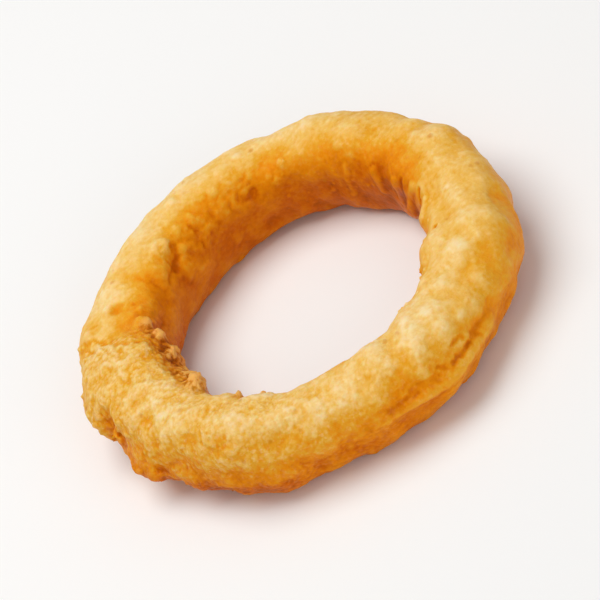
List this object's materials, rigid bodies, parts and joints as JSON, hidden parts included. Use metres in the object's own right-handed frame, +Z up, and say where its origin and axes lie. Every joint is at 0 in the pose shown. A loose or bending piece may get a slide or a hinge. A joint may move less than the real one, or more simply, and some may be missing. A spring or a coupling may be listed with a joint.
{
  "type": "onion ring",
  "caption": "Battered, deep-fried onion ring lying flat: a thick uneven ring of puffed golden batter with a wide open middle, fried-on crumbs and a browned lower rim.",
  "frame": {"origin": "centre of the bounding box's base, in the middle of the ring on the surface it rests on", "axes": "+Z up, out of the ring's shown side and the bounding box's shortest extent; +X along the longest extent"},
  "size_m": [0.08, 0.0756, 0.018],
  "materials": {
    "batter": "satin"
  },
  "bodies": {
    "root": {"onion_ring": "batter"}
  },
  "joints": []
}
